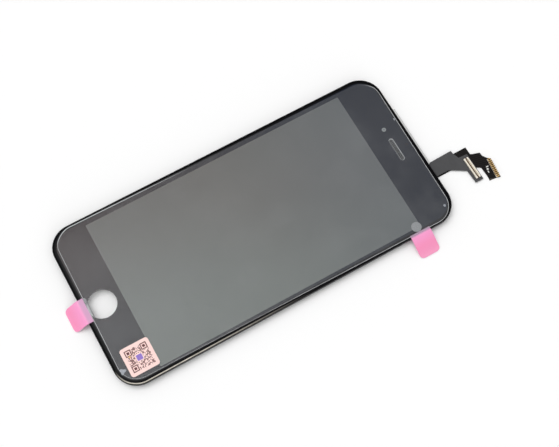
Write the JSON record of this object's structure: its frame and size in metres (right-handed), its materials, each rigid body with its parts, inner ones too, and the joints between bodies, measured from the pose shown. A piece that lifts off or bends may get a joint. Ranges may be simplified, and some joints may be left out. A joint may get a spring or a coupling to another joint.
{
  "type": "phone lcd screen assembly",
  "caption": "Phone display assembly: black-bordered cover glass with home-button hole and earpiece slot, LCD, backlight and moulded frame, two flat flexes, film and pull tabs.",
  "frame": {"origin": "centre of the frame's outline, on the plane that the back of the frame rests on", "axes": "+X across the screen to its right seen from the front, +Y towards the earpiece and flexes, +Z out of the screen"},
  "size_m": [0.0727, 0.1629, 0.0032],
  "materials": {
    "cover_glass": "polished",
    "clear_film": "clear film",
    "border_ink": "printed black",
    "moulded_black": "fine moulded grain",
    "moulded_white": "glossy white",
    "panel_glass": "polished",
    "polariser": "neutral grey film",
    "clear_adhesive": "clear",
    "optical_film": "pearly film",
    "light_guide": "clear acrylic",
    "tray_steel": "rolled sheet",
    "fitting_steel": "stamped sheet",
    "flex_grey": "grey coverlay",
    "flex_black": "black coverlay",
    "stiffener": "laminate",
    "connector_body": "moulded",
    "contact_gold": "gold plated",
    "silicon": "polished die",
    "component": "small chip parts",
    "tape_black": "satin tape",
    "tab_pink": "tinted film",
    "label_paper": "coated label",
    "mesh_steel": "black woven mesh",
    "ring_plastic": "smoked ring"
  },
  "bodies": {
    "root": {"mid_frame": "moulded_black", "cover_glass": "cover_glass", "border_print": "border_ink", "optical_adhesive": "clear_adhesive", "front_polariser": "polariser", "colour_filter_glass": "panel_glass", "tft_glass": "panel_glass", "rear_polariser": "polariser", "driver_chip": "silicon", "backlight_tray": "tray_steel", "backlight_moulding": "moulded_white", "reflector_film": "optical_film", "light_guide": "light_guide", "diffuser_film": "optical_film", "lower_prism_film": "optical_film", "upper_prism_film": "optical_film", "rim_tape": "tape_black", "lamp_strip": "moulded_white", "side_lamps": "component", "earpiece_mesh": "mesh_steel", "camera_ring": "ring_plastic", "sensor_holder": "ring_plastic", "display_flex": "flex_grey", "touch_flex": "flex_black", "display_stiffener": "stiffener", "touch_stiffener": "stiffener", "display_connector": "connector_body", "display_contacts": "contact_gold", "touch_connector": "connector_body", "touch_contacts": "contact_gold", "rear_flex_tape": "tape_black", "touch_chip": "silicon", "flex_capacitors": "component", "left_bracket": "fitting_steel", "right_bracket": "fitting_steel", "hook_plate": "fitting_steel", "screw_plates": "fitting_steel", "protective_film": "clear_film", "code_label": "label_paper", "adhesive_dots": "clear_adhesive", "side_pull_tab": "tab_pink", "end_pull_tab": "tab_pink"}
  },
  "joints": []
}
